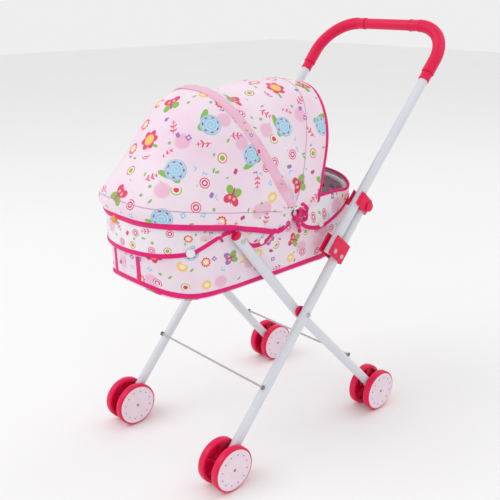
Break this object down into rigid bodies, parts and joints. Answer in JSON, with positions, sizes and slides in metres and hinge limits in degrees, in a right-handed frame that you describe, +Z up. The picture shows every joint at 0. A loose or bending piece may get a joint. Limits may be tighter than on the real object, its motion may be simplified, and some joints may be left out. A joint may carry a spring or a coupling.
{
  "type": "folding doll stroller",
  "caption": "Toy doll stroller: folding X frame of white tubes, fold-down U handle with ribbed grips, twin wheels, printed fabric basket and bow-framed hood.",
  "frame": {"origin": "floor point under the middle of the bounding box, on the stroller's middle plane", "axes": "+X across the stroller, to the left for someone holding the handle; +Y from the head end of the basket (front wheels) towards the handle; +Z up"},
  "size_m": [0.2732, 0.5231, 0.5926],
  "materials": {
    "white_paint": "gloss white powder coat",
    "pink_plastic": "hot pink moulded plastic",
    "pale_pink_plastic": "satin pale pink",
    "zinc_steel": "zinc plated",
    "printed_fabric": "printed woven polyester"
  },
  "bodies": {
    "front_wheel_left": {"front_axle_left": "zinc_steel", "front_wheel_left_inner_cap": "pale_pink_plastic", "front_wheel_left_inner_disc": "pink_plastic", "front_wheel_left_outer_cap": "pale_pink_plastic", "front_wheel_left_outer_disc": "pink_plastic"},
    "rear_wheel_left": {"rear_axle_left": "zinc_steel", "rear_wheel_left_inner_cap": "pale_pink_plastic", "rear_wheel_left_inner_disc": "pink_plastic", "rear_wheel_left_outer_cap": "pale_pink_plastic", "rear_wheel_left_outer_disc": "pink_plastic"},
    "front_wheel_right": {"front_axle_right": "zinc_steel", "front_wheel_right_inner_cap": "pale_pink_plastic", "front_wheel_right_inner_disc": "pink_plastic", "front_wheel_right_outer_cap": "pale_pink_plastic", "front_wheel_right_outer_disc": "pink_plastic"},
    "rear_wheel_right": {"rear_axle_right": "zinc_steel", "rear_wheel_right_inner_cap": "pale_pink_plastic", "rear_wheel_right_inner_disc": "pink_plastic", "rear_wheel_right_outer_cap": "pale_pink_plastic", "rear_wheel_right_outer_disc": "pink_plastic"},
    "front_frame": {"basket_fabric": "printed_fabric", "bracket_rivet_left": "zinc_steel", "bracket_rivet_right": "zinc_steel", "crossing_rivet_left": "zinc_steel", "crossing_rivet_right": "zinc_steel", "crossing_spacer_left": "pink_plastic", "crossing_spacer_right": "pink_plastic", "front_cross_rod": "white_paint", "front_leg_left": "white_paint", "front_leg_right": "white_paint", "handle_pivot_rivet_left": "zinc_steel", "handle_pivot_rivet_right": "zinc_steel", "lower_bracket_left": "pink_plastic", "lower_bracket_right": "pink_plastic", "upper_clip_left": "pink_plastic", "upper_clip_right": "pink_plastic"},
    "rear_frame": {"head_rim_rivet_left": "zinc_steel", "head_rim_rivet_right": "zinc_steel", "leg_cap_left": "pink_plastic", "leg_cap_right": "pink_plastic", "rear_cross_rod": "white_paint", "rear_leg_left": "white_paint", "rear_leg_right": "white_paint"},
    "handle": {"grip_centre": "pink_plastic", "grip_elbow_left": "pink_plastic", "grip_elbow_right": "pink_plastic", "grip_end_left": "pink_plastic", "grip_end_right": "pink_plastic", "handle_tube": "white_paint"},
    "head_rim": {"head_rim_wire": "zinc_steel", "hood_fabric": "printed_fabric", "hood_pin_left": "zinc_steel", "hood_pin_right": "zinc_steel"},
    "foot_rim": {"foot_rim_wire": "zinc_steel"},
    "hood_middle": {"hood_middle_bow": "zinc_steel"},
    "hood_front": {"hood_front_bow": "zinc_steel"}
  },
  "joints": [
    {"name": "frame_fold", "type": "hinge", "parent": "front_frame", "child": "rear_frame", "pos_m": [0, -0.04716, 0.20763], "axis": [-1, 0, 0], "range_deg": [0, 66], "deforming": ["basket_fabric", "hood_fabric"]},
    {"name": "head_rim_hinge", "type": "hinge", "parent": "rear_frame", "child": "head_rim", "pos_m": [0, -0.1527, 0.33533], "axis": [1, 0, 0], "range_deg": [0, 144], "deforming": ["basket_fabric", "hood_fabric"]},
    {"name": "foot_rim_hinge", "type": "hinge", "parent": "front_frame", "child": "foot_rim", "pos_m": [0, 0.06891, 0.34258], "axis": [-1, 0, 0], "range_deg": [0, 68], "deforming": ["basket_fabric", "hood_fabric"]},
    {"name": "hood_middle_hinge", "type": "hinge", "parent": "head_rim", "child": "hood_middle", "pos_m": [0, -0.0518, 0.351], "axis": [1, 0, 0], "range_deg": [0, 40], "deforming": ["hood_fabric"]},
    {"name": "hood_front_hinge", "type": "hinge", "parent": "hood_middle", "child": "hood_front", "pos_m": [0, -0.0518, 0.351], "axis": [1, 0, 0], "range_deg": [0, 45], "deforming": ["hood_fabric"]},
    {"name": "handle_fold", "type": "hinge", "parent": "front_frame", "child": "handle", "pos_m": [0, 0.00114, 0.29139], "axis": [1, 0, 0], "range_deg": [0, 150]},
    {"name": "front_wheel_left_spin", "type": "hinge", "parent": "front_frame", "child": "front_wheel_left", "pos_m": [-0.112, -0.1978, 0.0325], "axis": [1, 0, 0], "continuous": true},
    {"name": "front_wheel_right_spin", "type": "hinge", "parent": "front_frame", "child": "front_wheel_right", "pos_m": [0.112, -0.1978, 0.0325], "axis": [1, 0, 0], "continuous": true},
    {"name": "rear_wheel_left_spin", "type": "hinge", "parent": "rear_frame", "child": "rear_wheel_left", "pos_m": [-0.116, 0.1102, 0.0325], "axis": [1, 0, 0], "continuous": true},
    {"name": "rear_wheel_right_spin", "type": "hinge", "parent": "rear_frame", "child": "rear_wheel_right", "pos_m": [0.116, 0.1102, 0.0325], "axis": [1, 0, 0], "continuous": true}
  ],
  "couplings": [
    {"joint": "head_rim_hinge", "follows": "frame_fold", "ratio": 2.1818},
    {"joint": "foot_rim_hinge", "follows": "frame_fold", "ratio": 1.0303},
    {"joint": "hood_front_hinge", "follows": "hood_middle_hinge", "ratio": 1.125}
  ]
}
